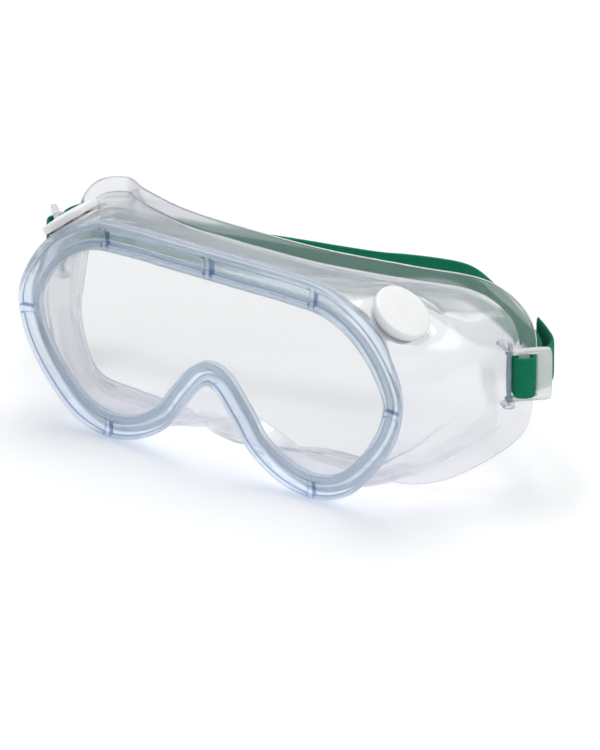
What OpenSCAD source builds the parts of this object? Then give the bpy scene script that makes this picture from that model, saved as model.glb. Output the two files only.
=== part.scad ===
/* [Rim and lens] */
// Depth of the front rim, front to back
rim_depth = 4.4; // [4:0.1:6]
// Width of the rim's front face at its sides
rim_band = 6.6; // [6.2:0.1:7]
// Depth of the channel that runs round the rim's front face
channel_depth = 1.4; // [0.6:0.1:1.6]
// Thickness of the flat lens
lens_t = 1.5; // [1:0.1:1.5]
// How far the lens edge sits inside the rim
lens_grip = 2.2; // [1.6:0.1:2.4]

/* [Skirt] */
// Wall thickness of the face skirt
skirt_t = 1.6; // [1.2:0.1:2]
// Width of the soft lip along the face edge
lip_w = 4.5; // [3:0.1:5]
// How far the side walls bulge outwards halfway back
skirt_bulge = 3.5; // [0:0.5:4]

/* [Vents] */
// Diameter of a vent cap
cap_d = 18.3; // [18:0.1:18.6]
// Height of a vent cap, from its lower edge to its crown
cap_h = 3; // [2.6:0.1:3.4]
// Lean of each vent away from vertical, in degrees
vent_tilt = 37.7; // [34:0.1:41]

/* [Strap and buckles] */
// Width of the elastic strap
strap_w = 13; // [11:0.5:13]
// Thickness of the elastic strap
strap_t = 1.2; // [1:0.1:1.3]
// Overall height of a buckle
buckle_h = 16.6; // [16:0.1:18]
// Thickness of a buckle's plate
buckle_t = 2.2; // [1.8:0.1:2.4]
// Length of a buckle from its hinge bar to its outer edge
buckle_l = 12.8; // [12:0.1:13.2]
// Radius of the hinge bar
bar_r = 0.9; // [0.8:0.05:1]

/* [Hidden] */

// The design is drawn about the centre of the rim's front face, +X to the wearer's left and +Y
// towards the face, then moved so that the origin is under the middle of the whole object.
base_z = 36.54;
middle_y = 42.8;

fit = 0.05;
rows_half = 14;
rows_all = 2 * rows_half;
steps = 4;
samples = rows_all * steps;
wall_rings = 9;

// One row for each generator line of the right half, from the nose round the side to the top:
// [rim x, rim z, edge x, edge y, edge z, lip inwards, lip forwards], where the last two say how far
// inside and in front of the face edge the wall turns into the lip
LINES = [
    [0, -9.5, 0, 24, -29, -4, 10],
    [8, -17.5, 9, 24, -31.5, -2, 8],
    [15, -27, 17, 24, -35, 1.5, 4],
    [26, -33.9, 27, 23, -36.4, 4, 1.5],
    [38, -36, 42, 23.5, -36.4, 4.5, 1.2],
    [50, -31.7, 58, 25.5, -35.6, 4.5, 1.2],
    [60.5, -21, 71, 33, -30.5, 4.5, 1.2],
    [67.5, -8.5, 83.2, 44.3, -18.5, 4.5, 1.2],
    [69.2, 4, 83.6, 48, -1, 4.5, 1.2],
    [64, 16.5, 82.8, 50, 11, 4.5, 1.2],
    [55, 26.5, 76, 50, 20, 4.5, 1.2],
    [43, 32.6, 64, 48.5, 24.6, 4.5, 1.2],
    [28, 33.8, 48, 35.5, 29.4, 4.5, 1.2],
    [14, 33.8, 25, 24.5, 32.8, 4.5, 1.2],
    [0, 33.8, 0, 21, 34.2, 4.5, 1.2]
];

// Row k of the closed loop, with the left half mirrored from the right
function row(k) = let (i = (k + rows_all) % rows_all, r = LINES[i <= rows_half ? i : rows_all - i])
    i <= rows_half ? r : [-r[0], r[1], -r[2], r[3], r[4], r[5], r[6]];

// Catmull-Rom curve through four neighbours
function spline(a, b, c, d, t) = 0.5 * (2 * b + (c - a) * t + (2 * a - 5 * b + 4 * c - d) * t * t
    + (3 * b - a - 3 * c + d) * t * t * t);
function line_at(i) = let (k = floor(i / steps), t = (i % steps) / steps)
    spline(row(k - 1), row(k), row(k + 1), row(k + 2), t);
CURVES = [for (i = [0 : samples - 1]) line_at(i)];
function curve(i) = CURVES[(i + samples) % samples];
function unit(v) = v / norm(v);
// Outward normals of the rim's outline and of the face edge, in the front view
function side(a, b) = unit([b[1] - a[1], a[0] - b[0]]);
RIM_N = [for (i = [0 : samples - 1]) side([curve(i - 1)[0], curve(i - 1)[1]],
    [curve(i + 1)[0], curve(i + 1)[1]])];
FACE_N = [for (i = [0 : samples - 1]) side([curve(i - 1)[2], curve(i - 1)[4]],
    [curve(i + 1)[2], curve(i + 1)[4]])];

// The rim's outline moved inwards by d, plus up where it faces up and down where it faces down
function inset(d, up = 0, down = 0) = [for (i = [0 : samples - 1]) let (n = RIM_N[i])
    [CURVES[i][0], CURVES[i][1]] - n * (d + up * max(0, n[1]) + down * max(0, -n[1]))];

lip_bevel = 0.7;
lip_t = 1.4;
outer_lip_w = 1.3;
inner_lip_w = 0.9;
band_up = 2.2;
band_down = 0.5;
lip_up = 0.9;
channel_up = 0.9;
grip_up = 1.5;
lens_y = channel_depth + 0.6;
tab_w = 2;

vent_x = 58.3;
vent_y = 14;
vent_z = 23.1;
tube_r = 6.6;
tube_bore_r = 5.4;
seat_flat_r = 8.7;
seat_r = cap_d / 2 + 0.55;
seat_fade_r = 16;
VENT_AXIS = [sin(vent_tilt), 0, cos(vent_tilt)];

pin_x = 81.5;
pin_y = 38.2;
buckle_z = 1.5;
buckle_turn = 44;
lug_r = 1.9;
lug_h = 1.6;
lug_gap = 0.2;
lug_top_l = 4.4;
lug_low_l = 2.5;
lug_w = 2.8;
lug_step = 0.2;
lug_turn = 118;
rail_t = 1.4;
rail_r = 1.25;
slot_b = 2.4;
slot_c = 6.5;
slot_d = 8.1;
end_r = 1.08;

module in_frame() {
    translate([0, -middle_y, base_z]) children();
}

// A flat shape drawn in the front view, as thick as y1 - y0
module slab(y0, y1) {
    translate([0, y1, 0]) rotate([90, 0, 0]) linear_extrude(y1 - y0) children();
}

module mirrored(is_left) {
    mirror([is_left ? 1 : 0, 0, 0]) children();
}

// --- rim and lens ---

module channel_shape() {
    difference() {
        polygon(inset(outer_lip_w, lip_up));
        polygon(inset(rim_band - inner_lip_w, channel_up));
        for (x = [-38, 0, 38]) translate([x - tab_w / 2, 15]) square([tab_w, 30]);
        for (x = [-37, 37]) translate([x - tab_w / 2, -45]) square([tab_w, 25]);
        for (x = [-66, 66]) translate([x - 8, -2 - tab_w / 2]) square([16, tab_w]);
    }
}

module front_rim() {
    color([0.80, 0.87, 0.93, 0.6]) in_frame() difference() {
        slab(0, rim_depth) polygon(inset(0));
        slab(-1, rim_depth + 1) polygon(inset(rim_band, band_up, band_down));
        slab(-1, channel_depth) channel_shape();
        slab(lens_y, lens_y + lens_t + fit) polygon(inset(rim_band - lens_grip, grip_up));
    }
}

module lens() {
    color([0.95, 0.97, 0.98, 0.3]) in_frame()
        slab(lens_y, lens_y + lens_t) polygon(inset(rim_band - lens_grip + fit, grip_up));
}

// --- skirt ---

function blend(a, b, t) = a + (b - a) * t;
function smooth(t) = let (u = min(1, max(0, t))) u * u * (3 - 2 * u);
// Flattens the wall onto a vent's seat plane near that vent; depth is 0 outside and skirt_t inside
function seated(p, depth) = let (
    sgn = p[0] < 0 ? -1 : 1,
    axis = [sgn * VENT_AXIS[0], 0, VENT_AXIS[2]],
    rel = p - [sgn * vent_x, vent_y, vent_z],
    height = rel * axis,
    away = norm(rel - axis * height),
    weight = smooth((seat_fade_r - away) / (seat_fade_r - seat_flat_r)) * smooth((12 - abs(height)) / 4))
    p - axis * (height + depth) * weight;

// A point of the wall: s runs from the rim (0) to the lip (1), depth goes inwards
function wall(i, s, depth) = let (
    front_2d = [CURVES[i][0], CURVES[i][1]] - RIM_N[i] * 1.6 * (1 - 0.25 * max(0, -RIM_N[i][1])),
    back_2d = [CURVES[i][2], CURVES[i][4]] - FACE_N[i] * CURVES[i][5] * lip_w / 4.5,
    n = unit(blend(RIM_N[i], FACE_N[i], s)),
    at = blend(front_2d, back_2d, s) + n * (skirt_bulge * sin(180 * s) ^ 2 * abs(n[0]) - depth),
    y = blend(rim_depth, CURVES[i][3] - CURVES[i][6], s))
    seated([at[0], y, at[1]], depth);
function lip(i, back) = let (n = FACE_N[i] * lip_bevel * back / lip_t)
    [CURVES[i][2] - n[0], CURVES[i][3] + back, CURVES[i][4] - n[1]];
function profile(i) = concat(
    [for (k = [0 : wall_rings - 1]) wall(i, k / (wall_rings - 1), 0)],
    [lip(i, 0), lip(i, lip_t)],
    [for (k = [wall_rings - 1 : -1 : 0])
        wall(i, k / (wall_rings - 1), skirt_t) + (k == wall_rings - 1 ? [0, lip_t, 0] : [0, 0, 0])]);

module skirt_shell() {
    profile_n = 2 * wall_rings + 2;
    points = [for (i = [0 : samples - 1]) each profile(i)];
    faces = [for (i = [0 : samples - 1]) for (j = [0 : profile_n - 1]) let (
        i2 = (i + 1) % samples,
        j2 = (j + 1) % profile_n,
        a = i * profile_n + j,
        b = i * profile_n + j2,
        c = i2 * profile_n + j2,
        d = i2 * profile_n + j)
        each [[a, c, b], [a, d, c]]];
    polyhedron(points, faces);
}

module vent_frame() {
    translate([vent_x, vent_y, vent_z]) rotate([0, vent_tilt, 0]) children();
}

// Places children at a buckle's hinge bar, +X along the plate and -Y towards its front
module pin_frame() {
    translate([pin_x, pin_y, buckle_z]) rotate([0, 0, buckle_turn]) children();
}

// A pair of rings on the side wall that hold the ends of the buckle's hinge bar
module strap_lug(is_left) {
    low = -buckle_h / 2 - lug_gap - lug_h;
    color([0.93, 0.94, 0.96, 0.5]) in_frame() mirrored(is_left) pin_frame()
        for (ring = [[low, lug_low_l], [-low - lug_h, lug_top_l]]) translate([0, 0, ring[0]]) difference() {
            union() {
                cylinder(h = lug_h, r = lug_r, $fn = 48);
                rotate([0, 0, lug_turn]) translate([0, -lug_w / 2, lug_step])
                    cube([ring[1], lug_w, lug_h - 2 * lug_step]);
            }
            translate([0, 0, -1]) cylinder(h = lug_h + 2, r = bar_r + fit, $fn = 48);
        }
}

// The soft skirt: one moulded shell with a hole for each vent and a flat seat on both sides of its wall
module face_skirt() {
    color([0.93, 0.94, 0.96, 0.5]) in_frame() resize([0, 0, 0]) difference() {
        skirt_shell();
        for (left = [false, true]) mirrored(left) vent_frame() {
            translate([0, 0, -6]) cylinder(h = 12, r = tube_r + fit, $fn = 64);
            cylinder(h = 6, r = seat_r, $fn = 64);
            translate([0, 0, -skirt_t - 6]) cylinder(h = 6, r = flange_r, $fn = 64);
        }
    }
}

// --- vents ---

body_top = 2.4;
flange_r = 8.2;
flange_t = 0.8;
port_w = 3;

// A grommet through the skirt wall: outer flange, tube with side ports, and a snap flange inside
module vent_body(is_left) {
    color("whitesmoke") in_frame() mirrored(is_left) vent_frame() difference() {
        union() {
            cylinder(h = flange_t, r = flange_r, $fn = 96);
            translate([0, 0, -skirt_t - flange_t]) cylinder(h = flange_t, r = flange_r - 0.4, $fn = 96);
            translate([0, 0, -skirt_t - flange_t])
                cylinder(h = skirt_t + flange_t + body_top, r = tube_r, $fn = 96);
        }
        translate([0, 0, -5]) cylinder(h = 12, r = tube_bore_r, $fn = 96);
        for (turn = [0 : 60 : 300]) rotate([0, 0, turn])
            translate([0, -port_w / 2, flange_t]) cube([12, port_w, body_top]);
    }
}

cap_z = 1.4;
cap_wall = 1;
crown_r = 46;
plug_l = 1.6;

// A shallow domed cover with a plug ring that snaps into the tube
module vent_cap(is_left) {
    cap_r = cap_d / 2;
    cap_top = cap_z + cap_h;
    color("white") in_frame() mirrored(is_left) vent_frame() rotate_extrude($fn = 128) {
        intersection() {
            difference() {
                translate([0, cap_z]) square([cap_r, cap_h]);
                translate([0, cap_z - 1]) square([cap_r - cap_wall, cap_h - cap_wall]);
            }
            translate([0, cap_top - crown_r]) circle(r = crown_r, $fn = 256);
        }
        translate([tube_bore_r - fit - cap_wall, body_top - plug_l])
            square([cap_wall, cap_top - cap_wall - body_top + plug_l - 0.5]);
    }
}

// --- buckles ---

// A three-bar slide: hinge bar, centre bar that the strap wraps, and a wide outer bar
module buckle(is_left) {
    plate_y = buckle_t / 2;
    pin_h = buckle_h + 2 * (lug_gap + lug_h);
    color([0.85, 0.90, 0.95, 0.5]) in_frame() mirrored(is_left) pin_frame() union() {
        translate([0, 0, -pin_h / 2]) cylinder(h = pin_h, r = bar_r, $fn = 48);
        for (z = [-buckle_h / 2, buckle_h / 2 - rail_t]) translate([0, 0, z]) {
            cylinder(h = rail_t, r = rail_r, $fn = 48);
            translate([0, -plate_y, 0]) cube([buckle_l - 2, buckle_t, rail_t]);
        }
        translate([slot_b, -plate_y, -buckle_h / 2]) cube([slot_c - slot_b, buckle_t, buckle_h]);
        translate([slot_d, -plate_y, -buckle_h / 2]) cube([buckle_l - end_r - slot_d, buckle_t, buckle_h]);
        translate([buckle_l - end_r, 0, -buckle_h / 2]) cylinder(h = buckle_h, r = end_r, $fn = 48);
    }
}

// --- strap ---

// Plan route of the free part of the strap, from the left buckle round the back to the right one
BACK_ROUTE = [[-84.2, 44.6], [-84.8, 47], [-84.4, 50.6], [-80, 54.8], [-72, 57.6], [-62, 60], [-40, 65],
    [-21, 70], [6, 76.5], [16, 80.5], [25, 83.5], [33, 85], [40, 83.4], [50, 77.6], [61, 70.4], [72, 62.4],
    [80, 55.4], [84.4, 50.6], [84.8, 47], [84.2, 44.6]];
// Strap end in the buckle's own plan: from the free part, over the centre bar, and back as the tail
WRAP = [[1.65, 1.4], [1.65, 0], [1.65, -1.3], [2.4, -2.4], [4.45, -2.9], [6.5, -2.4], [7.3, -1.3],
    [7.3, 0], [7.3, 1.4]];
// Stretches behind the buckle, in plan: towards the free part, and the tail
NEAR = [[84.1, 44.2], [83, 42.3]];
TAIL = [[86.1, 45.9], [86.8, 48.6], [86.6, 52], [84.9, 56], [80, 60.6], [73.4, 65.6]];

function dense(path, n) = [for (k = [0 : len(path) - 2]) for (j = [0 : n - 1])
    spline(path[max(k - 1, 0)], path[k], path[k + 1], path[min(k + 2, len(path) - 1)], j / n),
    path[len(path) - 1]];
function along(path, i) = unit(path[min(i + 1, len(path) - 1)] - path[max(i - 1, 0)]);
// A band of the strap's thickness along a plan route
function band(path) = let (n = len(path) - 1) concat(
    [for (i = [0 : n]) path[i] + [-along(path, i)[1], along(path, i)[0]] * strap_t / 2],
    [for (i = [n : -1 : 0]) path[i] - [-along(path, i)[1], along(path, i)[0]] * strap_t / 2]);
function to_plan(p) = [pin_x, pin_y] + [p[0] * cos(buckle_turn) - p[1] * sin(buckle_turn),
    p[0] * sin(buckle_turn) + p[1] * cos(buckle_turn)];

module webbing(route) {
    translate([0, 0, buckle_z - strap_w / 2]) linear_extrude(strap_w) polygon(band(dense(route, 3)));
}

module strap_back() {
    color("seagreen") in_frame() webbing(BACK_ROUTE);
}

module strap_end(is_left) {
    color("seagreen") in_frame() mirrored(is_left)
        webbing(concat(NEAR, [for (p = WRAP) to_plan(p)], TAIL));
}

front_rim();
lens();
face_skirt();
vent_body(true);  // vent_body_left
vent_body(false);  // vent_body_right
vent_cap(true);  // vent_cap_left
vent_cap(false);  // vent_cap_right
strap_lug(true);  // strap_lug_left
strap_lug(false);  // strap_lug_right
buckle(true);  // buckle_left
buckle(false);  // buckle_right
strap_back();
strap_end(true);  // strap_end_left
strap_end(false);  // strap_end_right
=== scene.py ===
import math

import bmesh
import bpy
import numpy as np
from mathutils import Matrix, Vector


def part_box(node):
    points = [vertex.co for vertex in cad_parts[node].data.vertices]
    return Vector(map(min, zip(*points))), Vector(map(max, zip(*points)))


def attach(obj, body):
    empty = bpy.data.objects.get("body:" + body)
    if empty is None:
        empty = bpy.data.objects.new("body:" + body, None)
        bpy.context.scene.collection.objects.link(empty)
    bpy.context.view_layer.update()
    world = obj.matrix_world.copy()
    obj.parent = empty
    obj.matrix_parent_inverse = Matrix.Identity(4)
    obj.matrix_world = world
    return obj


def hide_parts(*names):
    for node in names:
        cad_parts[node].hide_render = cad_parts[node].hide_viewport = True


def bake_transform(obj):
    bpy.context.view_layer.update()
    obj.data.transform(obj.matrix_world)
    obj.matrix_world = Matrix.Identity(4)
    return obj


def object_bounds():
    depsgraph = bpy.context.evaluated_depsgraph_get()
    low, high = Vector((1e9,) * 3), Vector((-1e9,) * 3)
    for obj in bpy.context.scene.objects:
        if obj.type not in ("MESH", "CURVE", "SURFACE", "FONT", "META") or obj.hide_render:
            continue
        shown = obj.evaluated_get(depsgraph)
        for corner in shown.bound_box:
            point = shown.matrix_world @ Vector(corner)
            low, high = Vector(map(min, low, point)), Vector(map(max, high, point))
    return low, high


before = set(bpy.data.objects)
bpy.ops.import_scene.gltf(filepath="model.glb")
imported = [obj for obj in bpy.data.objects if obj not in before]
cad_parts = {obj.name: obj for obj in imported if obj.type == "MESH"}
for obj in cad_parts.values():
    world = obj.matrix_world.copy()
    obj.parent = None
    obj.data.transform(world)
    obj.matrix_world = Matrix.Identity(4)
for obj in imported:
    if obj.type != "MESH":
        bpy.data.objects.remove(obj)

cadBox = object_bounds()
mm = 0.001


rimLow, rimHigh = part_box("front_rim")
layout = {
    "lensHeight": 36.54,  # lens centre above the surface the goggles stand on, mm
    "rimDepth": 4.4,
    "pinX": 81.5,
    "pinY": 38.2,
    "buckleZ": 1.5,
    "buckleTurn": 44,  # degrees from +X, in plan
    "ventX": 58.3,
    "ventY": 14.0,
    "ventZ": 23.1,
    "ventTilt": 37.7,
}
lensCentre = np.array([0, rimLow[1] / mm, cadBox[0][2] / mm + layout["lensHeight"]])

# Generator lines of the right half, nose to side to top, mm from the lens centre:
# rim x, rim z, edge x, edge y, edge z, lip inwards, lip forwards
generatorLines = np.array([
    [0, -9.5, 0, 24, -29, -4, 10],
    [8, -17.5, 9, 24, -31.5, -2, 8],
    [15, -27, 17, 24, -35, 1.5, 4],
    [26, -33.9, 27, 23, -36.4, 4, 1.5],
    [38, -36, 42, 23.5, -36.4, 4.5, 1.2],
    [50, -31.7, 58, 25.5, -35.6, 4.5, 1.2],
    [60.5, -21, 71, 33, -30.5, 4.5, 1.2],
    [67.5, -8.5, 83.2, 44.3, -18.5, 4.5, 1.2],
    [69.2, 4, 83.6, 48, -1, 4.5, 1.2],
    [64, 16.5, 82.8, 50, 11, 4.5, 1.2],
    [55, 26.5, 76, 50, 20, 4.5, 1.2],
    [43, 32.6, 64, 48.5, 24.6, 4.5, 1.2],
    [28, 33.8, 48, 35.5, 29.4, 4.5, 1.2],
    [14, 33.8, 25, 24.5, 32.8, 4.5, 1.2],
    [0, 33.8, 0, 21, 34.2, 4.5, 1.2],
])
leftLines = generatorLines[-2:0:-1] * np.array([-1, 1, -1, 1, 1, 1, 1])
loopLines = np.vstack([generatorLines, leftLines])


def catmullRom(a, b, c, d, t):
    # half of (2b + (c-a)t + (2a-5b+4c-d)t^2 + (3b-a-3c+d)t^3)
    bend = (2 * a - 5 * b + 4 * c - d) * t ** 2
    twist = (3 * b - a - 3 * c + d) * t ** 3
    return 0.5 * (2 * b + (c - a) * t + bend + twist)


def splineLoop(rows, perRow):
    # a closed Catmull-Rom curve, perRow points on each stretch
    t = (np.arange(perRow) / perRow)[None, :, None]
    a, b, c, d = (np.roll(rows, k, axis=0)[:, None, :] for k in (1, 0, -1, -2))
    return catmullRom(a, b, c, d, t).reshape(-1, rows.shape[1])


def splinePath(points, step):
    # open Catmull-Rom with repeated ends, then resampled every step along its length
    p = np.asarray(points, float)
    p = np.vstack([p[:1], p, p[-1:]])
    t = np.linspace(0, 1, 40, endpoint=False)[None, :, None]
    a, b, c, d = (p[k:len(p) - 3 + k, None, :] for k in range(4))
    fine = catmullRom(a, b, c, d, t)
    fine = np.vstack([fine.reshape(-1, p.shape[1]), p[-1:]])
    run = np.concatenate([[0], np.cumsum(np.linalg.norm(np.diff(fine, axis=0), axis=1))])
    at = np.linspace(0, run[-1], max(2, int(round(run[-1] / step)) + 1))
    return np.stack([np.interp(at, run, fine[:, k]) for k in range(fine.shape[1])], axis=1)


def unit(v):
    # v / |v|
    return v / np.maximum(np.linalg.norm(v, axis=-1, keepdims=True), 1e-12)


def outward2d(loop):
    # the tangent (tx, tz) turned to (tz, -tx): outwards on a loop that runs anticlockwise from the front
    tangent = np.roll(loop, -1, axis=0) - np.roll(loop, 1, axis=0)
    return unit(np.stack([tangent[:, 1], -tangent[:, 0]], axis=1))


def roundedProfile(corners, radii, n=6):
    # a closed outline whose corner P becomes P - r(1 - sin t)u + r(1 - cos t)v,
    # u in, v out, t from 0 to 90 degrees
    p = np.asarray(corners, float)
    into = unit(p - np.roll(p, 1, axis=0))
    out = unit(np.roll(p, -1, axis=0) - p)
    t = np.linspace(0, math.pi / 2, n)[None, :, None]
    r = np.asarray(radii, float)[:, None, None]
    arc = p[:, None] - into[:, None] * r * (1 - np.sin(t)) + out[:, None] * r * (1 - np.cos(t))
    return arc.reshape(-1, 2)


def smoothStep(t):
    # 3t^2 - 2t^3, held to 0 and 1 outside
    t = np.clip(t, 0, 1)
    return t * t * (3 - 2 * t)


def makeMesh(name, points, faces, uv=None):
    # points in mm from the lens centre become metres in the frame
    mesh = bpy.data.meshes.new(name)
    mesh.from_pydata(((points + lensCentre) * mm).tolist(), [], faces.tolist())
    if uv is not None:
        layer = mesh.uv_layers.new(name="UVMap")
        loops = np.empty(len(mesh.loops), dtype=np.int64)
        mesh.loops.foreach_get("vertex_index", loops)
        layer.data.foreach_set("uv", uv[loops].astype(np.float32).ravel())
    mesh.polygons.foreach_set("use_smooth", np.ones(len(mesh.polygons), dtype=bool))
    mesh.update()
    piece = bpy.data.objects.new(name, mesh)
    bpy.context.scene.collection.objects.link(piece)
    return piece


def gridFaces(rows, cols, closeRows, closeCols):
    # quad (i, j), (i, j+1), (i+1, j+1), (i+1, j), with point (i, j) at i cols + j
    i = np.arange(rows if closeRows else rows - 1)
    j = np.arange(cols if closeCols else cols - 1)
    ii, jj = (g.ravel() for g in np.meshgrid(i, j, indexing="ij"))
    i2, j2 = (ii + 1) % rows, (jj + 1) % cols
    return np.stack([ii * cols + jj, ii * cols + j2, i2 * cols + j2, i2 * cols + jj], axis=1)


def endCaps(rows, cols):
    # flat ends as strips of quads (k, k+1, cols-2-k, cols-1-k) between the two sides of the profile
    k = np.arange(cols // 2 - 1)
    cap = np.stack([k, k + 1, cols - 2 - k, cols - 1 - k], axis=1)
    return np.vstack([cap, (cap + (rows - 1) * cols)[:, ::-1]])


def signedVolume(points, faces):
    # sum over the quads of (a . b x c + a . c x d) / 6
    a, b, c, d = (points[faces[:, k]] for k in range(4))
    first = np.einsum("ij,ij->i", a, np.cross(b, c))
    second = np.einsum("ij,ij->i", a, np.cross(c, d))
    return (first + second).sum() / 6


def closedGrid(name, grid, closeRows=True, uv=None):
    # a tube of quads; its faces are turned so that the enclosed volume is positive
    rows, cols = grid.shape[:2]
    points = grid.reshape(-1, 3)
    faces = gridFaces(rows, cols, closeRows, True)
    if not closeRows:
        faces = np.vstack([faces, endCaps(rows, cols)])
    if signedVolume(points, faces) < 0:
        faces = faces[:, ::-1]
    return makeMesh(name, points, faces, uv)


def closePoles(piece):
    # points closer than a tenth of a micron become one, so that a spun shape closes on its axis
    shape = bmesh.new()
    shape.from_mesh(piece.data)
    bmesh.ops.remove_doubles(shape, verts=shape.verts, dist=1e-7)
    shape.to_mesh(piece.data)
    shape.free()
    return piece


def applyModifiers(piece):
    # the evaluated mesh takes the place of the piece and its modifiers
    graph = bpy.context.evaluated_depsgraph_get()
    mesh = bpy.data.meshes.new_from_object(piece.evaluated_get(graph))
    piece.modifiers.clear()
    piece.data = mesh
    mesh.polygons.foreach_set("use_smooth", np.ones(len(mesh.polygons), dtype=bool))
    return piece


def mirrorPoints(points, isLeft):
    # x becomes -x on the left
    return points * np.array([-1 if isLeft else 1, 1, 1])


def ventPlace(points, isLeft):
    # turns local +Z to the vent's axis about Y, then moves to its seat
    tilt = math.radians(layout["ventTilt"])
    x = points[..., 0] * math.cos(tilt) + points[..., 2] * math.sin(tilt) + layout["ventX"]
    z = -points[..., 0] * math.sin(tilt) + points[..., 2] * math.cos(tilt) + layout["ventZ"]
    return mirrorPoints(np.stack([x, points[..., 1] + layout["ventY"], z], axis=-1), isLeft)


# base is the colour at the surface, line the painted shade of the rim's channel walls and the buckle's
# hinge, absorb and density the tint of the body, clear the refracting share, thin the share seen straight
# through, shadow the colour of the light that gets through
finishes = {
    "rim": {"base": (0.92, 0.96, 1.0), "line": (0.09, 0.18, 0.42), "absorb": (0.50, 0.70, 0.88),
            "density": 34.0, "clear": 0.82, "thin": 0.38, "rough": 0.06, "ior": 1.22, "coat": 1.0,
            "shadow": (0.87, 0.91, 0.945)},
    "skirt": {"base": (0.905, 0.905, 0.925), "line": (0.6, 0.64, 0.72), "absorb": (0.50, 0.53, 0.62),
              "density": 40.0, "clear": 0.90, "thin": 0.25, "rough": 0.10, "ior": 1.20, "coat": 1.0,
              "shadow": (0.925, 0.925, 0.945)},
    "lens": {"base": (0.86, 0.865, 0.87), "line": (0.9, 0.9, 0.9), "absorb": (0.6, 0.61, 0.62),
             "density": 45.0, "clear": 0.99, "thin": 0.0, "rough": 0.0, "ior": 1.30, "coat": 0.6,
             "shadow": (0.97, 0.97, 0.97)},
    "buckle": {"base": (0.97, 0.97, 0.98), "line": (0.10, 0.24, 0.34), "absorb": (0.6, 0.72, 0.82),
               "density": 24.0, "clear": 0.52, "thin": 0.05, "rough": 0.03, "ior": 1.38, "coat": 1.0,
               "shadow": (0.86, 0.89, 0.91)},
}


def newGroup(name, inputs, outputs):
    group = bpy.data.node_groups.new(name, "ShaderNodeTree")
    for label, kind, value in inputs:
        socket = group.interface.new_socket(name=label, in_out="INPUT", socket_type=kind)
        socket.default_value = value
    for label, kind in outputs:
        group.interface.new_socket(name=label, in_out="OUTPUT", socket_type=kind)
    return group, group.nodes.new("NodeGroupInput"), group.nodes.new("NodeGroupOutput")


def mathNode(tree, operation, a, b=None, c=None):
    node = tree.nodes.new("ShaderNodeMath")
    node.operation = operation
    for k, value in enumerate((a, b, c)):
        if value is None:
            continue
        if isinstance(value, (int, float)):
            node.inputs[k].default_value = value
        else:
            tree.links.new(value, node.inputs[k])
    return node.outputs[0]


def noiseNode(tree, vector, scale, detail=2.0, roughness=0.5):
    node = tree.nodes.new("ShaderNodeTexNoise")
    node.inputs["Scale"].default_value = scale
    node.inputs["Detail"].default_value = detail
    node.inputs["Roughness"].default_value = roughness
    tree.links.new(vector, node.inputs["Vector"])
    return node.outputs["Fac"]


def mouldedPlasticGroup():
    # height = waves + share x grain; roughness goes from low to high with a cloudy noise
    group, inside, out = newGroup(
        "mouldedPlastic",
        [("Vector", "NodeSocketVector", (0, 0, 0)), ("Wave Scale", "NodeSocketFloat", 60.0),
         ("Grain Scale", "NodeSocketFloat", 900.0), ("Grain Share", "NodeSocketFloat", 0.2),
         ("Rough Low", "NodeSocketFloat", 0.04), ("Rough High", "NodeSocketFloat", 0.12)],
        [("Height", "NodeSocketFloat"), ("Roughness", "NodeSocketFloat")])
    waves = group.nodes.new("ShaderNodeTexNoise")
    waves.inputs["Detail"].default_value = 1.5
    group.links.new(inside.outputs["Vector"], waves.inputs["Vector"])
    group.links.new(inside.outputs["Wave Scale"], waves.inputs["Scale"])
    grain = group.nodes.new("ShaderNodeTexNoise")
    grain.inputs["Detail"].default_value = 3.0
    group.links.new(inside.outputs["Vector"], grain.inputs["Vector"])
    group.links.new(inside.outputs["Grain Scale"], grain.inputs["Scale"])
    grainPart = mathNode(group, "MULTIPLY", grain.outputs["Fac"], inside.outputs["Grain Share"])
    height = mathNode(group, "ADD", waves.outputs["Fac"], grainPart)
    cloud = noiseNode(group, inside.outputs["Vector"], 45.0, 4.0, 0.6)
    mix = group.nodes.new("ShaderNodeMapRange")
    mix.inputs["From Min"].default_value = 0.35
    mix.inputs["From Max"].default_value = 0.7
    group.links.new(cloud, mix.inputs["Value"])
    group.links.new(inside.outputs["Rough Low"], mix.inputs["To Min"])
    group.links.new(inside.outputs["Rough High"], mix.inputs["To Max"])
    group.links.new(height, out.inputs["Height"])
    group.links.new(mix.outputs["Result"], out.inputs["Roughness"])
    return group


def startMaterial(name):
    material = bpy.data.materials.new(name)
    material.use_nodes = True
    tree = material.node_tree
    tree.nodes.clear()
    output = tree.nodes.new("ShaderNodeOutputMaterial")
    shader = tree.nodes.new("ShaderNodeBsdfPrincipled")
    coords = tree.nodes.new("ShaderNodeTexCoord")
    return material, tree, output, shader, coords


def bumpInto(tree, shader, height, strength, distance):
    bump = tree.nodes.new("ShaderNodeBump")
    bump.inputs["Strength"].default_value = strength
    bump.inputs["Distance"].default_value = distance
    tree.links.new(height, bump.inputs["Height"])
    tree.links.new(bump.outputs["Normal"], shader.inputs["Normal"])


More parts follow.
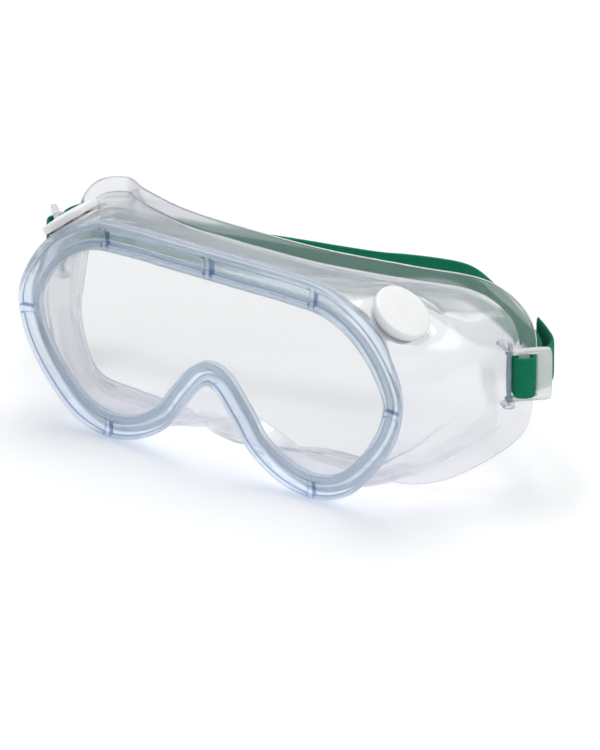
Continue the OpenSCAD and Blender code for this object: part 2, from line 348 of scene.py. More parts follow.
def clearPlastic(name, group, finish, waveScale, bump, roughSpan):
    # refracting plastic with absorption; lamps pass through it, so it casts only a faint shadow
    material, tree, output, shader, coords = startMaterial(name)
    shader.inputs["IOR"].default_value = finish["ior"]
    shader.inputs["Transmission Weight"].default_value = finish["clear"]
    shader.inputs["Coat Weight"].default_value = finish["coat"]
    shader.inputs["Coat Roughness"].default_value = 0.06
    moulded = tree.nodes.new("ShaderNodeGroup")
    moulded.node_tree = group
    moulded.inputs["Wave Scale"].default_value = waveScale
    moulded.inputs["Grain Scale"].default_value = 1400.0
    moulded.inputs["Grain Share"].default_value = 0.06
    moulded.inputs["Rough Low"].default_value = finish["rough"]
    moulded.inputs["Rough High"].default_value = finish["rough"] + roughSpan
    tree.links.new(coords.outputs["Object"], moulded.inputs["Vector"])
    tree.links.new(moulded.outputs["Roughness"], shader.inputs["Roughness"])
    bumpInto(tree, shader, moulded.outputs["Height"], bump, 0.0006)
    # painted shade: where the line attribute is 1, the surface colour and the straight-through colour both
    # turn to the line colour, so the marked walls read as dark lines
    wall = tree.nodes.new("ShaderNodeAttribute")
    wall.attribute_name = "paintedShadeLine"
    tint = tree.nodes.new("ShaderNodeMix")
    tint.data_type = "RGBA"
    tint.inputs["A"].default_value = (*finish["base"], 1)
    tint.inputs["B"].default_value = (*finish["line"], 1)
    tree.links.new(wall.outputs["Fac"], tint.inputs["Factor"])
    tree.links.new(tint.outputs["Result"], shader.inputs["Base Color"])
    through = tree.nodes.new("ShaderNodeBsdfTransparent")
    veil = tree.nodes.new("ShaderNodeMix")
    veil.data_type = "RGBA"
    veil.inputs["A"].default_value = (*finish["shadow"], 1)
    veil.inputs["B"].default_value = (*finish["line"], 1)
    tree.links.new(wall.outputs["Fac"], veil.inputs["Factor"])
    tree.links.new(veil.outputs["Result"], through.inputs["Color"])
    path = tree.nodes.new("ShaderNodeLightPath")
    mix = tree.nodes.new("ShaderNodeMixShader")
    share = mathNode(tree, "MAXIMUM", path.outputs["Is Shadow Ray"], finish["thin"])
    tree.links.new(share, mix.inputs[0])
    tree.links.new(shader.outputs[0], mix.inputs[1])
    tree.links.new(through.outputs[0], mix.inputs[2])
    tree.links.new(mix.outputs[0], output.inputs["Surface"])
    volume = tree.nodes.new("ShaderNodeVolumeAbsorption")
    volume.inputs["Color"].default_value = (*finish["absorb"], 1)
    volume.inputs["Density"].default_value = finish["density"]
    tree.links.new(volume.outputs[0], output.inputs["Volume"])
    return material


def whitePlastic(group):
    material, tree, output, shader, coords = startMaterial("whiteVentPlastic")
    shader.inputs["Coat Weight"].default_value = 0.15
    shader.inputs["Coat Roughness"].default_value = 0.2
    moulded = tree.nodes.new("ShaderNodeGroup")
    moulded.node_tree = group
    moulded.inputs["Wave Scale"].default_value = 120.0
    moulded.inputs["Grain Scale"].default_value = 2600.0
    moulded.inputs["Grain Share"].default_value = 0.8
    moulded.inputs["Rough Low"].default_value = 0.36
    moulded.inputs["Rough High"].default_value = 0.5
    tree.links.new(coords.outputs["Object"], moulded.inputs["Vector"])
    tree.links.new(moulded.outputs["Roughness"], shader.inputs["Roughness"])
    bumpInto(tree, shader, moulded.outputs["Height"], 0.25, 0.00015)
    cloud = noiseNode(tree, coords.outputs["Object"], 160.0, 3.0)
    ramp = tree.nodes.new("ShaderNodeValToRGB")
    ramp.color_ramp.elements[0].position = 0.3
    ramp.color_ramp.elements[0].color = (0.84, 0.84, 0.835, 1)
    ramp.color_ramp.elements[1].position = 0.7
    ramp.color_ramp.elements[1].color = (0.89, 0.89, 0.885, 1)
    tree.links.new(cloud, ramp.inputs["Fac"])
    tree.links.new(ramp.outputs["Color"], shader.inputs["Base Color"])
    tree.links.new(shader.outputs[0], output.inputs["Surface"])
    return material


elasticLook = {
    "ribs": 18,  # covered rubber cords across the width
    "picks": 1900.0,  # weft picks for each metre of strap
    "dark": (0.0005, 0.105, 0.052),
    "light": (0.002, 0.25, 0.122),
}


def elasticGroup():
    # u across (0 to 1), v along in metres: ribs = |sin(pi n u)|,
    # picks = 0.5 + 0.5 sin(2 pi (k v + half a turn on every second rib))
    group, inside, out = newGroup(
        "elasticWeave",
        [("Vector", "NodeSocketVector", (0, 0, 0)), ("Ribs", "NodeSocketFloat", 9.0),
         ("Picks", "NodeSocketFloat", 1000.0)],
        [("Height", "NodeSocketFloat"), ("Thread", "NodeSocketFloat")])
    split = group.nodes.new("ShaderNodeSeparateXYZ")
    group.links.new(inside.outputs["Vector"], split.inputs[0])
    across = mathNode(group, "MULTIPLY", split.outputs["X"], inside.outputs["Ribs"])
    rib = mathNode(group, "ABSOLUTE", mathNode(group, "SINE", mathNode(group, "MULTIPLY", across, math.pi)))
    parity = mathNode(group, "MODULO", mathNode(group, "FLOOR", across), 2.0)
    alongTurns = mathNode(group, "MULTIPLY", split.outputs["Y"], inside.outputs["Picks"])
    shifted = mathNode(group, "ADD", alongTurns, mathNode(group, "MULTIPLY", parity, 0.5))
    pickSine = mathNode(group, "SINE", mathNode(group, "MULTIPLY", shifted, 2 * math.pi))
    pick = mathNode(group, "MULTIPLY_ADD", pickSine, 0.5, 0.5)
    ribPart = mathNode(group, "MULTIPLY", rib, 0.7)
    height = mathNode(group, "ADD", ribPart, mathNode(group, "MULTIPLY", pick, 0.3))
    group.links.new(height, out.inputs["Height"])
    group.links.new(mathNode(group, "MULTIPLY", pick, rib), out.inputs["Thread"])
    return group


def elasticMaterial(group):
    material, tree, output, shader, coords = startMaterial("greenElastic")
    shader.inputs["Roughness"].default_value = 0.8
    shader.inputs["Specular IOR Level"].default_value = 0.2
    shader.inputs["Sheen Weight"].default_value = 0.04
    shader.inputs["Sheen Roughness"].default_value = 0.45
    shader.inputs["Sheen Tint"].default_value = (0.35, 0.9, 0.65, 1)
    weave = tree.nodes.new("ShaderNodeGroup")
    weave.node_tree = group
    weave.inputs["Ribs"].default_value = elasticLook["ribs"]
    weave.inputs["Picks"].default_value = elasticLook["picks"]
    tree.links.new(coords.outputs["UV"], weave.inputs["Vector"])
    fuzz = noiseNode(tree, coords.outputs["Object"], 700.0, 3.0, 0.6)
    shade = mathNode(tree, "ADD", mathNode(tree, "MULTIPLY", weave.outputs["Thread"], 0.75),
                     mathNode(tree, "MULTIPLY", fuzz, 0.5))
    ramp = tree.nodes.new("ShaderNodeValToRGB")
    ramp.color_ramp.elements[0].position = 0.1
    ramp.color_ramp.elements[0].color = (*elasticLook["dark"], 1)
    ramp.color_ramp.elements[1].position = 0.85
    ramp.color_ramp.elements[1].color = (*elasticLook["light"], 1)
    tree.links.new(shade, ramp.inputs["Fac"])
    tree.links.new(ramp.outputs["Color"], shader.inputs["Base Color"])
    bumpInto(tree, shader, weave.outputs["Height"], 0.5, 0.00015)
    tree.links.new(shader.outputs[0], output.inputs["Surface"])
    return material


mouldedPlastic = mouldedPlasticGroup()
rimMaterial = clearPlastic("tintedRimPlastic", mouldedPlastic, finishes["rim"], 90.0, 0.25, 0.05)
skirtMaterial = clearPlastic("clearSkirtPlastic", mouldedPlastic, finishes["skirt"], 55.0, 0.3, 0.06)
lensMaterial = clearPlastic("clearLensSheet", mouldedPlastic, finishes["lens"], 12.0, 0.015, 0.01)
buckleMaterial = clearPlastic("clearBucklePlastic", mouldedPlastic, finishes["buckle"], 160.0, 0.15, 0.03)
whiteMaterial = whitePlastic(mouldedPlastic)
greenElastic = elasticMaterial(elasticGroup())
print("materials ready")


def paintShadeLine(piece, strength):
    # painted shade: 1 on the steep little walls that read as dark lines, 0 elsewhere
    layer = piece.data.attributes.new("paintedShadeLine", "FLOAT", "POINT")
    layer.data.foreach_set("value", np.ascontiguousarray(strength, dtype=np.float32).ravel())


def giveMaterial(piece, material):
    piece.data.materials.clear()
    piece.data.materials.append(material)


rimShape = {
    "perRow": 34,
    "outerLip": 1.3,  # widths at the sides; the Up and Down values add where the rim faces up or down
    "outerLipUp": 0.9,
    "channelEnd": 5.7,
    "channelEndUp": 0.9,
    "band": 6.6,
    "bandUp": 2.2,
    "bandDown": 0.5,
    "groove": 4.4,
    "grooveUp": 1.5,
    "grooveY": (2.0, 3.55),
    "channelDepth": 1.4,
    "sideTaper": 2.0,  # how far the side walls draw in towards the back
    "tabWidth": 2.0,
    "tabRamp": 0.45,
    "tabTop": 0.25,
    "tabs": [(-38, 1), (0, 1), (38, 1), (-37, -1), (37, -1)],
    "sideTabs": [(-69, -2), (69, -2)],
}


def tabMask(loop, n):
    # 1 on a bridging tab and 0 elsewhere, by distance along the outline from the tab's middle
    run = np.concatenate([[0], np.cumsum(np.linalg.norm(np.diff(loop, axis=0), axis=1))])
    total = run[-1] + np.linalg.norm(loop[0] - loop[-1])
    mask = np.zeros(len(loop))
    for x, facing in rimShape["tabs"]:
        miss = np.abs(loop[:, 0] - x) + np.where(n[:, 1] * facing > 0.3, 0, 1e3)
        mask = np.maximum(mask, tabBump(run, total, run[np.argmin(miss)]))
    for x, z in rimShape["sideTabs"]:
        nearest = np.argmin(np.hypot(loop[:, 0] - x, loop[:, 1] - z))
        mask = np.maximum(mask, tabBump(run, total, run[nearest]))
    return mask


def tabBump(run, total, centre):
    # smoothstep of (half width + ramp - distance) / ramp, the distance taken the short way round
    away = np.abs(run - centre)
    away = np.minimum(away, total - away)
    return smoothStep((rimShape["tabWidth"] / 2 + rimShape["tabRamp"] - away) / rimShape["tabRamp"])


def makeRim():
    # a profile point is (zone, offset, y): zones start at the outline, the channel's two walls, the groove's
    # floor and the opening's edge, each at side + up max(0, nz) + down max(0, -nz) inside the outline
    s = rimShape
    g0, g1 = s["grooveY"]
    loop = splineLoop(loopLines, s["perRow"])[:, :2]
    n = outward2d(loop)
    up, down = np.maximum(0, n[:, 1]), np.maximum(0, -n[:, 1])
    zones = np.stack([
        0 * up,
        s["outerLip"] + s["outerLipUp"] * up,
        s["channelEnd"] + s["channelEndUp"] * up,
        s["groove"] + s["grooveUp"] * up,
        s["band"] + s["bandUp"] * up + s["bandDown"] * down,
    ], axis=1)
    deep, thick = s["channelDepth"], layout["rimDepth"]
    corners = [(0, thick), (0, 0), (1, 0), (1, deep), (2, deep), (2, 0.1), (4, 0.1), (4, g0),
               (3, g0), (3, g1), (4, g1), (4, thick)]
    radii = [0.5, 0.75, 0.28, 0.2, 0.2, 0.25, 0.35, 0.2, 0.1, 0.1, 0.2, 0.3]
    nominal = zones[0]
    flatCorners = np.array([(nominal[zone], y) for zone, y in corners])
    profile = roundedProfile(flatCorners, radii, 6)
    zone = np.repeat([c[0] for c in corners], 6)
    offset = profile[:, 0] - nominal[zone]
    d = zones[:, zone] + offset[None, :]
    y = np.broadcast_to(profile[None, :, 1], d.shape)
    taper = s["sideTaper"] * np.abs(n[:, :1]) * smoothStep((y - 0.6) / 3.8)
    d = d + np.where((zone == 0)[None, :], taper, 0)
    mask = tabMask(loop, n)
    inChannel = ((zone == 1) | (zone == 2))[None, :]
    depth = np.where(inChannel, y + (np.minimum(y, s["tabTop"]) - y) * mask[:, None], y)
    flat = loop[:, None, :] - n[:, None, :] * d[:, :, None]
    grid = np.stack([flat[:, :, 0], depth, flat[:, :, 1]], axis=2)
    rim = closedGrid("rimBody", grid)
    # painted shade on the channel's walls and at the tab ends, standing in for the dark lines that
    # refraction draws there
    onWall = inChannel & (y > 0.45) & (y < deep - 0.05)
    tabEnd = (np.abs(np.roll(mask, -1) - np.roll(mask, 1)) > 0.3)[:, None] & inChannel
    paintedWallShade = np.where((zone == 1)[None, :], 1.0, 0.75) * onWall * (1 - mask[:, None])
    paintShadeLine(rim, np.where(tabEnd, 0.9, paintedWallShade))
    giveMaterial(rim, rimMaterial)
    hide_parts("front_rim")
    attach(rim, "root")
    return rim


makeRim()
print("rim ready")


skirtShape = {
    "perRow": 18,
    "rings": 46,
    "wall": 1.6,
    "bulge": 3.5,
    "lipThick": 1.4,
    "lipBevel": 0.7,
    "bead": 0.35,  # roundness of the lip's very edge
    "frontInset": 1.6,
    "sideInset": 0.7,
    "ventHole": 6.65,
    "seatFlat": 8.7,
    "seatFade": 16.0,
    "ripple": 0.18,  # unevenness of the soft moulding, mm
    "crease": 0.9,  # depth of the dent low on each side wall, mm
}


def seated(p, depth):
    # near a vent the wall is pressed flat onto the vent's seat plane, fading out with distance from its axis
    tilt = math.radians(layout["ventTilt"])
    side = np.where(p[..., :1] < 0, -1.0, 1.0)
    axis = np.concatenate([side * math.sin(tilt), 0 * side, np.full_like(side, math.cos(tilt))], axis=-1)
    centre = np.concatenate([side * layout["ventX"], np.full_like(side, layout["ventY"]),
                             np.full_like(side, layout["ventZ"])], axis=-1)
    rel = p - centre
    height = (rel * axis).sum(-1, keepdims=True)
    away = np.linalg.norm(rel - axis * height, axis=-1, keepdims=True)
    k = skirtShape
    fade = smoothStep((k["seatFade"] - away) / (k["seatFade"] - k["seatFlat"]))
    fade = fade * smoothStep((10 - np.abs(height)) / 8) * smoothStep((28 - p[..., 1:2]) / 5)
    return p - axis * (height + depth) * fade


def wallSheet(lines, rimN, faceN, s, depth):
    # a ruled wall from rim (s = 0) to lip (s = 1), pushed out by bulge sin^2(pi s), plus ripples
    # and one dent a side
    k = skirtShape
    squeeze = 1 - 0.25 * np.maximum(0, -rimN[:, 1:2])
    front = lines[:, :2] - rimN * (k["frontInset"] * squeeze + k["sideInset"] * np.abs(rimN[:, :1]))
    back = lines[:, [2, 4]] - faceN * lines[:, 5:6]
    s = s[None, :, None]
    n = unit(rimN[:, None] * (1 - s) + faceN[:, None] * s)
    push = k["bulge"] * np.sin(np.pi * s) ** 2 * np.abs(n[..., :1]) - depth
    flat = front[:, None] * (1 - s) + back[:, None] * s + n * push
    y = layout["rimDepth"] * (1 - s[..., 0]) + (lines[:, 3:4] - lines[:, 6:7]) * s[..., 0]
    p = np.stack([flat[..., 0], y, flat[..., 1]], axis=-1)
    q = np.abs(p[..., 0])
    ripple = k["ripple"] * (np.sin(q * 0.21 + y * 0.13) * np.sin(y * 0.27 + p[..., 2] * 0.17)
                            + 0.6 * np.sin(p[..., 2] * 0.33 + y * 0.41 + 1.3))
    line = (p[..., 2] + 26) - (y - 5) * 1.05  # distance from a diagonal in the side wall's own y and z
    dent = -k["crease"] * np.exp(-(line / 2.2) ** 2) * smoothStep((q - 48) / 10) * smoothStep((y - 3) / 6) \
        * smoothStep((26 - y) / 8) * smoothStep((-p[..., 2] - 2) / 6)
    ends = np.sin(np.pi * np.clip(s[..., 0], 0, 1)) ** 0.5
    moved = (ripple + dent) * ends
    p[..., 0] += n[..., 0] * moved
    p[..., 2] += n[..., 1] * moved
    return seated(p, depth)


def cutVentHole(skirt, isLeft):
    # a round plug across the wall on the vent's axis, taken away from the shell
    a = np.arange(72) / 72 * 2 * math.pi
    r = np.array([0, skirtShape["ventHole"], skirtShape["ventHole"], 0])
    z = np.array([-5.0, -5.0, 5.0, 5.0])
    ring = np.stack([np.cos(a)[:, None] * r, np.sin(a)[:, None] * r, np.broadcast_to(z, (72, 4))], axis=-1)
    cutter = closePoles(closedGrid("ventPlug", ventPlace(ring, isLeft)))
    cut = skirt.modifiers.new("ventHole", "BOOLEAN")
    cut.operation = "DIFFERENCE"
    cut.solver = "EXACT"
    cut.object = cutter
    applyModifiers(skirt)
    bpy.data.objects.remove(cutter)


def makeSkirt():
    # outer wall, fillet (1 - t) wall + t edge, round bead, fillet back, inner wall
    k = skirtShape
    lines = splineLoop(loopLines, k["perRow"])
    rimN = outward2d(lines[:, :2])
    faceN = outward2d(lines[:, [2, 4]])
    s = np.linspace(0, 1, k["rings"])
    outer = wallSheet(lines, rimN, faceN, s, 0.0)
    inner = wallSheet(lines, rimN, faceN, s, k["wall"])
    edge = lines[:, 2:5]
    faceN3 = np.stack([faceN[:, 0], np.zeros(len(faceN)), faceN[:, 1]], axis=1)
    tip = edge - faceN3 * k["lipBevel"]
    tip[:, 1] += k["lipThick"]
    t = np.linspace(0.12, 0.86, 6)[None, :, None]
    outBack = outer[:, -1:] * (1 - t) + edge[:, None] * t
    turn = np.linspace(-0.9, 0.9, 7)[None, :, None]
    outward = unit(edge - outer[:, -1]) * k["bead"]
    mid = (edge + tip) / 2 - outward
    across = (tip - edge) / 2
    bead = mid[:, None] + across[:, None] * np.sin(turn * np.pi / 2)
    bead = bead + outward[:, None] * np.cos(turn * np.pi / 2)
    innerEnd = inner[:, -1] + np.array([0, k["lipThick"], 0])
    inBack = tip[:, None] * (1 - t) + innerEnd[:, None] * t
    profile = np.concatenate([outer, outBack, bead, inBack, innerEnd[:, None], inner[:, -2::-1]], axis=1)
    skirt = closedGrid("skirtShell", profile)
    for isLeft in (False, True):
        cutVentHole(skirt, isLeft)
    giveMaterial(skirt, skirtMaterial)
    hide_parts("face_skirt")
    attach(skirt, "root")
    return skirt


makeSkirt()
print("skirt ready")


capShape = {
    "radius": 9.15,
    "bottom": 1.4,
    "height": 3.0,
    "edge": 0.7,
    "crown": 0.7,
    "wall": 1.0,
    "plugOuter": 5.35,  # the ring under the cap that grips the grommet's bore
    "plugInner": 4.35,
    "plugEnd": 0.8,
    "spokes": 96,
}


def makeCap(isLeft):
    # a spun profile (r, z): underside, inner wall, rim, outer wall, rounded edge, shallow dome crown
    k = capShape
    top = k["bottom"] + k["height"] - k["crown"]
    r = np.linspace(0, k["radius"] - k["edge"], 14)
    dome = np.stack([r, top + k["crown"] * (1 - (r / k["radius"]) ** 2)], axis=1)
    a = np.linspace(math.pi / 2, 0, 7)
    edgeTop = dome[-1, 1] - k["edge"]
    cornerR = k["radius"] - k["edge"] + k["edge"] * np.cos(a)
    corner = np.stack([cornerR, edgeTop + k["edge"] * np.sin(a)], axis=1)
    lowEdge = np.array([[k["radius"], k["bottom"] + 0.25], [k["radius"] - 0.08, k["bottom"] + 0.07],
                        [k["radius"] - 0.25, k["bottom"]], [k["radius"] - k["wall"] + 0.15, k["bottom"]],
                        [k["radius"] - k["wall"], k["bottom"] + 0.15]])
    ceiling = k["bottom"] + k["height"] - k["wall"] - k["crown"] * 0.8
    inside = np.array([[k["radius"] - k["wall"], ceiling - 0.4], [k["radius"] - k["wall"] - 0.4, ceiling],
                       [k["plugOuter"], ceiling], [k["plugOuter"], k["plugEnd"]],
                       [k["plugInner"], k["plugEnd"]], [k["plugInner"], ceiling],
                       [2.0, ceiling], [0, ceiling]])
    profile = np.vstack([dome, corner[1:], lowEdge, inside])
    angle = np.arange(k["spokes"]) / k["spokes"] * 2 * math.pi
    r, z = profile[None, :, 0], np.broadcast_to(profile[None, :, 1], (k["spokes"], len(profile)))
    grid = np.stack([r * np.cos(angle)[:, None], r * np.sin(angle)[:, None], z], axis=-1)
    grid = ventPlace(grid, isLeft)
    name = "ventCapLeft" if isLeft else "ventCapRight"
    cap = closePoles(closedGrid(name, grid))
    giveMaterial(cap, whiteMaterial)
    side = "left" if isLeft else "right"
    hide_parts(f"vent_cap_{side}")
    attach(cap, f"cap_{side}")
    return cap


for isLeft in (False, True):
    makeCap(isLeft)
print("vent caps ready")


buckleShape = {
    "height": 16.6,
    "thick": 2.2,
    "length": 12.8,
    "rail": 1.4,
    "railStart": -1.25,
    "centreBar": (2.4, 6.5),
    "outerBar": (8.1, 12.8),
    "barRadius": 0.9,
    "pinHalf": 10.1,
    "voxel": 0.16,
}


def pinPlace(points, isLeft):
    # local +X runs along the plate, -Y faces out of it, +Z is up; the origin is the hinge bar's middle
    a = math.radians(layout["buckleTurn"])
    x = points[..., 0] * math.cos(a) - points[..., 1] * math.sin(a) + layout["pinX"]
    y = points[..., 0] * math.sin(a) + points[..., 1] * math.cos(a) + layout["pinY"]
    return mirrorPoints(np.stack([x, y, points[..., 2] + layout["buckleZ"]], axis=-1), isLeft)


def roundedBar(low, high, power=6, around=28, along=17):
    # a superellipse |x/a|^p + |y/b|^p = 1 swept up z, drawn in at both ends by the same rule
    low, high = np.asarray(low, float), np.asarray(high, float)
    half, mid = (high - low) / 2, (high + low) / 2
    a = np.arange(around) / around * 2 * math.pi
    ring = np.stack([np.sign(np.cos(a)) * np.abs(np.cos(a)) ** (2 / power),
                     np.sign(np.sin(a)) * np.abs(np.sin(a)) ** (2 / power)], axis=1)
    t = np.linspace(-math.pi / 2, math.pi / 2, along)
    z = np.sign(np.sin(t)) * np.abs(np.sin(t)) ** (2 / power)
    w = np.maximum(np.abs(np.cos(t)) ** (2 / power), 0.02)
    x, y = (mid[k] + half[k] * w[:, None] * ring[None, :, k] for k in (0, 1))
    return np.stack([x, y, np.broadcast_to(mid[2] + half[2] * z[:, None], (along, around))], axis=-1)


def paintedHingeShade(buckle, isLeft):
    # painted shade round the hinge bar, fading along the plate: smoothstep of (1.3 - u) / 0.6
    points = np.empty(len(buckle.data.vertices) * 3)
    buckle.data.vertices.foreach_get("co", points)
    points = mirrorPoints(points.reshape(-1, 3) / mm - lensCentre, isLeft)
    a = math.radians(layout["buckleTurn"])
    x, y = points[:, 0] - layout["pinX"], points[:, 1] - layout["pinY"]
    u = x * math.cos(a) + y * math.sin(a)
    return 0.8 * smoothStep((1.3 - u) / 0.6)


def makeBuckle(isLeft):
    # five rounded bars melted into one skin: hinge bar, centre bar, outer bar and two rails
    k = buckleShape
    h, t, r = k["height"] / 2, k["thick"] / 2, k["barRadius"]
    bars = [
        roundedBar((-r, -r, -k["pinHalf"]), (r, r, k["pinHalf"]), 2.2),
        roundedBar((k["centreBar"][0], -t, -h + 0.2), (k["centreBar"][1], t, h - 0.2), 3),
        roundedBar((k["outerBar"][0], -t, -h), (k["outerBar"][1], t, h), 6),
        roundedBar((k["railStart"], -t, h - k["rail"] - 0.2), (k["length"] - 0.6, t, h), 6),
        roundedBar((k["railStart"], -t, -h), (k["length"] - 0.6, t, -h + k["rail"] + 0.2), 6),
    ]
    points, faces, start = [], [], 0
    for grid in bars:
        rows, cols = grid.shape[:2]
        block = pinPlace(grid, isLeft).reshape(-1, 3)
        f = np.vstack([gridFaces(rows, cols, False, True), endCaps(rows, cols)])
        if signedVolume(block - block.mean(0), f) < 0:
            f = f[:, ::-1]
        points.append(block)
        faces.append(f + start)
        start += len(block)
    name = "buckleClipLeft" if isLeft else "buckleClipRight"
    buckle = makeMesh(name, np.vstack(points), np.vstack(faces))
    melt = buckle.modifiers.new("melt", "REMESH")
    melt.mode = "VOXEL"
    melt.voxel_size = k["voxel"] * mm
    melt.use_smooth_shade = True
    relax = buckle.modifiers.new("relax", "SMOOTH")
    relax.factor = 0.5
    relax.iterations = 4
    applyModifiers(buckle)
    # painted shade round the hinge bar
    paintShadeLine(buckle, paintedHingeShade(buckle, isLeft))
    giveMaterial(buckle, buckleMaterial)
    side = "left" if isLeft else "right"
    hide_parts(f"buckle_{side}")
    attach(buckle, f"buckle_{side}")
    return buckle


for isLeft in (False, True):
    makeBuckle(isLeft)
print("buckles ready")


strapShape = {
    "width": 13.0,
    "thick": 1.15,
    "ribs": 9,
    "ribDepth": 0.09,
    "step": 0.5,
    "across": 73,
    "spanFromLeft": (-62, 60),  # where each side's span takes over from the middle
    "spanFromRight": (61, 71.5),
    "bendFrom": (80, 55),  # two plan points on the way from a span to its buckle
    "bendTo": (84.4, 45),
}
backRoute = [(-84.2, 44.6), (-84.8, 47), (-84.4, 50.6), (-80, 54.8), (-72, 57.6), (-62, 60), (-40, 65),
             (-21, 70), (6, 76.5), (16, 80.5), (25, 83.5), (33, 85), (40, 83.4), (50, 77.6), (61, 70.4),
             (72, 62.4), (80, 55.4), (84.4, 50.6), (84.8, 47), (84.2, 44.6)]
nearStrand = [(84.1, 44.2), (83, 42.3)]
wrapRoute = [(1.65, 1.4), (1.65, 0), (1.65, -1.3), (2.4, -2.4), (4.45, -2.9), (6.5, -2.4), (7.3, -1.3),
             (7.3, 0), (7.3, 1.4)]
tailRoute = [(86.1, 45.9), (86.8, 48.6), (86.6, 52), (84.9, 56), (80, 60.6), (73.4, 65.6)]


def bandSection():
    # closed outline (w across, h through): a flat oval, its faces waved by ribDepth |sin(pi n w)|
    k = strapShape
    w = np.linspace(-0.5, 0.5, k["across"])
    oval = (1 - np.abs(2 * w) ** 8) ** 0.5
    wave = k["ribDepth"] * (np.abs(np.sin(np.pi * k["ribs"] * (w + 0.5))) - 1)
    h = np.maximum(k["thick"] / 2 * oval + wave * oval, 0.01)
    front = np.stack([w * k["width"], -h], axis=1)
    back = np.stack([w[::-1] * k["width"], h[::-1]], axis=1)
    u = np.concatenate([w + 0.5, (w + 0.5)[::-1]])
    return np.vstack([front, back]), u


def makeBand(name, path, startAt=0.0):
    # the section carried along a plan path: across is up, through is the path's level normal
    section, u = bandSection()
    tangent = unit(np.gradient(path, axis=0))
    normal = np.stack([-tangent[:, 1], tangent[:, 0]], axis=1)
    run = np.concatenate([[0], np.cumsum(np.linalg.norm(np.diff(path, axis=0), axis=1))]) + startAt
    plan = path[:, None, :] + normal[:, None, :] * section[None, :, 1:2]
    up = np.broadcast_to(section[None, :, 0] + layout["buckleZ"], plan.shape[:2])
    grid = np.concatenate([plan, up[..., None]], axis=2)
    uv = np.stack([np.broadcast_to(u[None, :], plan.shape[:2]),
                   np.broadcast_to(run[:, None] * mm, plan.shape[:2])], axis=2).reshape(-1, 2)
    band = closedGrid(name, grid, closeRows=False, uv=uv)
    giveMaterial(band, greenElastic)
    return band


def planOfPin(points):
    # points beside the hinge bar, turned with the buckle and moved to the bar, seen in plan
    local = np.concatenate([np.asarray(points, float), np.zeros((len(points), 1))], axis=1)
    return pinPlace(local, False)[:, :2]


def makeStrap():
    # the middle stays put, each span goes from the middle to its buckle, and each tail turns with its buckle
    k = strapShape
    whole = splinePath(backRoute, k["step"])
    fromStart = np.argmin(np.hypot(*(whole - k["spanFromLeft"]).T))
    fromEnd = np.argmin(np.hypot(*(whole - k["spanFromRight"]).T))
    wrap = np.vstack([nearStrand, planOfPin(wrapRoute), tailRoute])
    wrapPath = splinePath(wrap, 0.35)
    middle = makeBand("strapMiddle", whole[fromStart:fromEnd + 1], fromStart * k["step"])
    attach(middle, "root")
    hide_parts("strap_back")
    for isLeft in (False, True):
        side = "left" if isLeft else "right"
        sign = -1 if isLeft else 1
        part = whole[:fromStart + 1][::-1] if isLeft else whole[fromEnd:]
        span = makeBand("strapSpanLeft" if isLeft else "strapSpanRight", part)
        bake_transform(span)
        tail = makeBand("strapTailLeft" if isLeft else "strapTailRight", wrapPath * np.array([sign, 1]))
        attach(tail, f"buckle_{side}")
        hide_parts(f"strap_end_{side}")


makeStrap()
print("strap ready")


# the lens, the vent grommets and the lugs keep their CAD shapes
for node, material in {
    "lens": lensMaterial,
    "vent_body_left": whiteMaterial,
    "vent_body_right": whiteMaterial,
    "strap_lug_left": skirtMaterial,
    "strap_lug_right": skirtMaterial,
}.items():
    giveMaterial(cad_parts[node], material)


studio = {
    "cameraDistance": 3.0,
    "azimuth": 35.0,
    "elevation": 25.0,
    "mmHigh": 220.98,  # what the frame's height covers at the object
    "aimRight": 27.4,
    "aimUp": -5.0,
    "floorHalf": 6.0,
    "floorColour": (0.93, 0.93, 0.93),
    "worldStrength": 0.64,
    "worldLow": (0.44, 0.51, 0.63),
    "worldHigh": (1.0, 1.0, 1.0),
    "lamps": (("overhead", (-0.2, 0.3, 1.6), 13, 0.9), ("frontLeft", (-1.6, -1.5, 1.3), 4, 1.0),
              ("right", (1.6, 0.3, 1.3), 5, 0.9)),  # place, watts, width
}


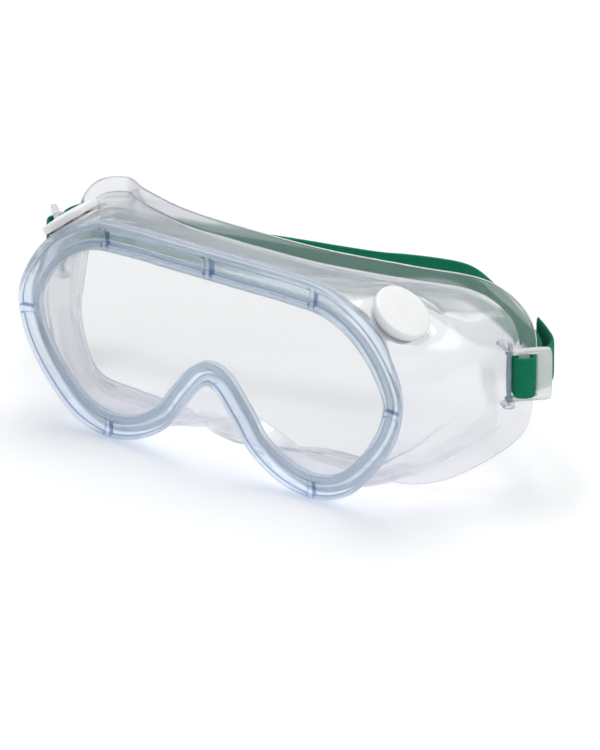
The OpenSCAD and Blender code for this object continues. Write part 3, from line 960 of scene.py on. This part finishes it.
def makeStudio():
    # back = (sin a cos e, -cos a cos e, sin e), right = (cos a, sin a, 0), up = back x right;
    # focal length = 36 distance / height covered
    s = studio
    scene = bpy.context.scene
    az, el = math.radians(s["azimuth"]), math.radians(s["elevation"])
    back = np.array([math.sin(az) * math.cos(el), -math.cos(az) * math.cos(el), math.sin(el)])
    right = np.array([math.cos(az), math.sin(az), 0])
    up = np.cross(back, right)
    aim = lensCentre + right * s["aimRight"] + up * s["aimUp"]
    place = aim * mm + back * s["cameraDistance"]
    data = bpy.data.cameras.new("camera")
    data.lens = 36 * s["cameraDistance"] / (s["mmHigh"] * mm)
    data.clip_end = 50
    camera = bpy.data.objects.new("camera", data)
    scene.collection.objects.link(camera)
    camera.location = place
    camera.rotation_euler = Vector(-back).to_track_quat("-Z", "Y").to_euler()
    scene.camera = camera

    floorMesh = bpy.data.meshes.new("floor")
    half = s["floorHalf"]
    corners = [(-half, -half, 0), (half, -half, 0), (half, half, 0), (-half, half, 0)]
    floorMesh.from_pydata(corners, [], [(0, 1, 2, 3)])
    floor = bpy.data.objects.new("floor", floorMesh)
    floor.location.z = cadBox[0][2]
    scene.collection.objects.link(floor)
    material, tree, output, shader, coords = startMaterial("paleFloor")
    shader.inputs["Base Color"].default_value = (*s["floorColour"], 1)
    shader.inputs["Roughness"].default_value = 0.6
    tree.links.new(shader.outputs[0], output.inputs["Surface"])
    giveMaterial(floor, material)

    world = bpy.data.worlds.new("studio")
    scene.world = world
    world.use_nodes = True
    tree = world.node_tree
    background = tree.nodes["Background"]
    background.inputs["Strength"].default_value = s["worldStrength"]
    coords = tree.nodes.new("ShaderNodeTexCoord")
    split = tree.nodes.new("ShaderNodeSeparateXYZ")
    ramp = tree.nodes.new("ShaderNodeValToRGB")
    tree.links.new(coords.outputs["Generated"], split.inputs[0])
    tree.links.new(split.outputs["Z"], ramp.inputs["Fac"])
    ramp.color_ramp.elements[0].position = 0.0
    ramp.color_ramp.elements[0].color = (*s["worldLow"], 1)
    ramp.color_ramp.elements[1].position = 0.45
    ramp.color_ramp.elements[1].color = (*s["worldHigh"], 1)
    tree.links.new(ramp.outputs["Color"], background.inputs["Color"])

    for name, spot, power, width in s["lamps"]:
        lamp = bpy.data.lights.new(name, "AREA")
        lamp.energy = power
        lamp.size = width
        light = bpy.data.objects.new(name, lamp)
        light.location = spot
        light.rotation_euler = (Vector((0, 0, 0.03)) - Vector(spot)).to_track_quat("-Z", "Y").to_euler()
        scene.collection.objects.link(light)

    scene.view_settings.view_transform = "Standard"
    scene.cycles.transparent_max_bounces = 24
    scene.cycles.max_bounces = 24
    scene.cycles.transmission_bounces = 20


makeStudio()
print("studio ready")
